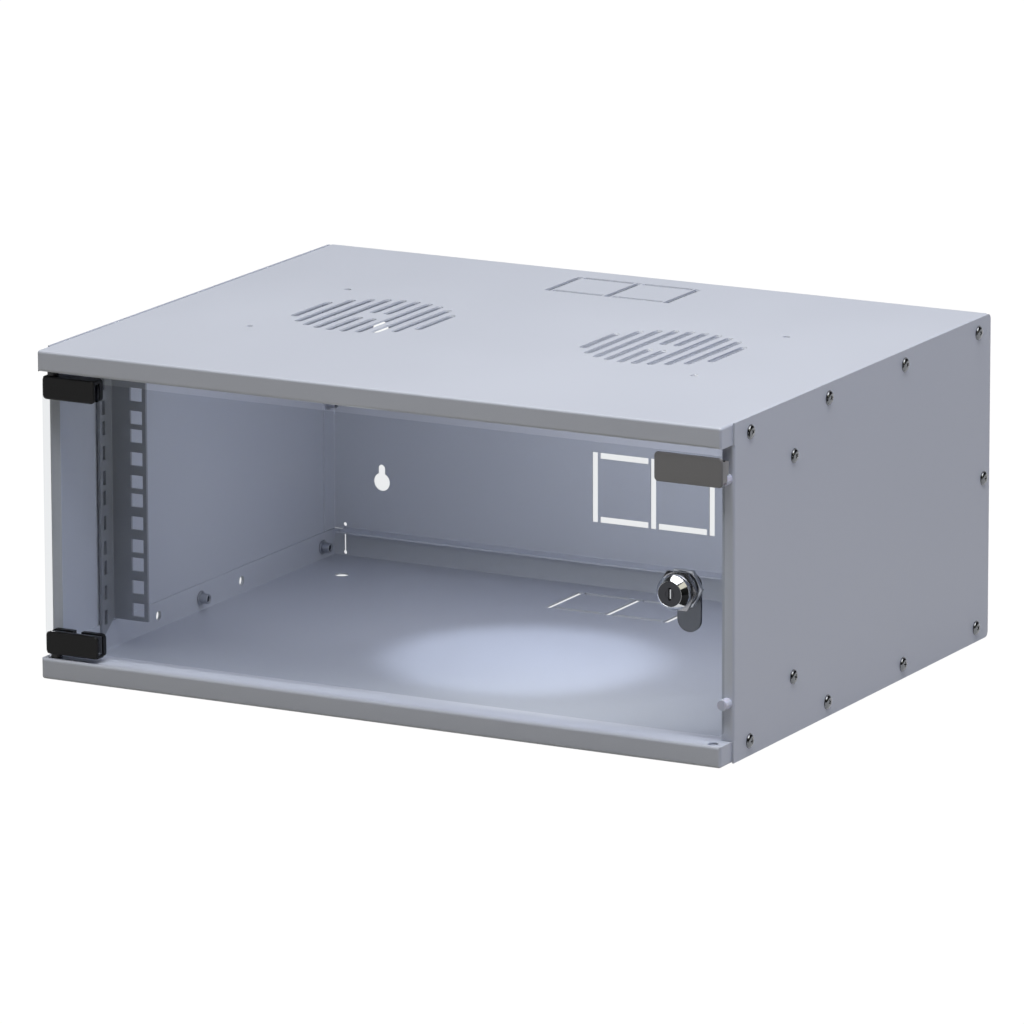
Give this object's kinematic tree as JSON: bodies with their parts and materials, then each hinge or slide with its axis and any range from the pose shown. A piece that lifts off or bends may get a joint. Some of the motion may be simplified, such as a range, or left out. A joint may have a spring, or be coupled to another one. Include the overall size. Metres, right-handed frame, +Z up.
{
  "type": "wall mount network cabinet",
  "caption": "Low wall cabinet of folded sheet steel with rack rails, a hinged frameless glass door with a cam lock, round slotted roof vents and cable knockouts.",
  "frame": {"origin": "centre of the rear outer face, on the plane of the wall", "axes": "+X to the right seen from the front, +Y from the door into the wall, +Z up"},
  "size_m": [0.5164, 0.4092, 0.225],
  "materials": {
    "cabinet_paint": "fine satin powder coat, blue grey",
    "rail_paint": "satin powder coat, dark grey",
    "zinc_nut": "bright zinc",
    "screw_steel": "bright nickel",
    "black_nylon": "matte",
    "white_rubber": "soft satin",
    "black_paint": "semi-matte",
    "black_rubber": "matte",
    "steel": "satin zinc",
    "door_glass": "clear, polished edges",
    "plate_grey": "satin, bare",
    "lock_chrome": "polished",
    "lock_face": "dark satin"
  },
  "bodies": {
    "cabinet": {"top_panel": "cabinet_paint", "bottom_panel": "cabinet_paint", "rear_panel": "cabinet_paint", "side_panel_left": "cabinet_paint", "side_panel_right": "cabinet_paint", "rail_left": "rail_paint", "rail_right": "rail_paint", "tray_rivet_nuts": "zinc_nut", "rear_rivet_nuts": "zinc_nut", "rail_rivet_nuts": "zinc_nut", "side_screws_left": "screw_steel", "side_screws_right": "screw_steel", "hinge_bush_lower": "black_nylon", "hinge_bush_upper": "black_nylon", "door_bumper_lower": "white_rubber", "door_bumper_upper": "white_rubber"},
    "door": {"glass_door": "door_glass", "hinge_body_lower": "black_paint", "hinge_body_upper": "black_paint", "hinge_liner_lower": "black_rubber", "hinge_liner_upper": "black_rubber", "hinge_pin_lower": "steel", "hinge_pin_upper": "steel", "hinge_screws_lower": "screw_steel", "hinge_screws_upper": "screw_steel", "finger_plate": "plate_grey", "finger_plate_tape": "black_rubber", "lock_gasket": "black_rubber", "lock_collar": "lock_chrome", "lock_housing": "lock_chrome", "lock_nut": "steel"},
    "lock": {"lock_plug": "lock_face", "lock_cam": "steel", "lock_cam_screw": "screw_steel"}
  },
  "joints": [
    {"name": "door_hinge", "type": "hinge", "parent": "cabinet", "child": "door", "pos_m": [-0.2465, -0.3935, 0], "axis": [0, 0, -1], "range_deg": [0, 180]},
    {"name": "lock_turn", "type": "hinge", "parent": "door", "child": "lock", "pos_m": [0.2229, -0.3815, 0.0018], "axis": [0, -1, 0], "range_deg": [0, 90]}
  ]
}
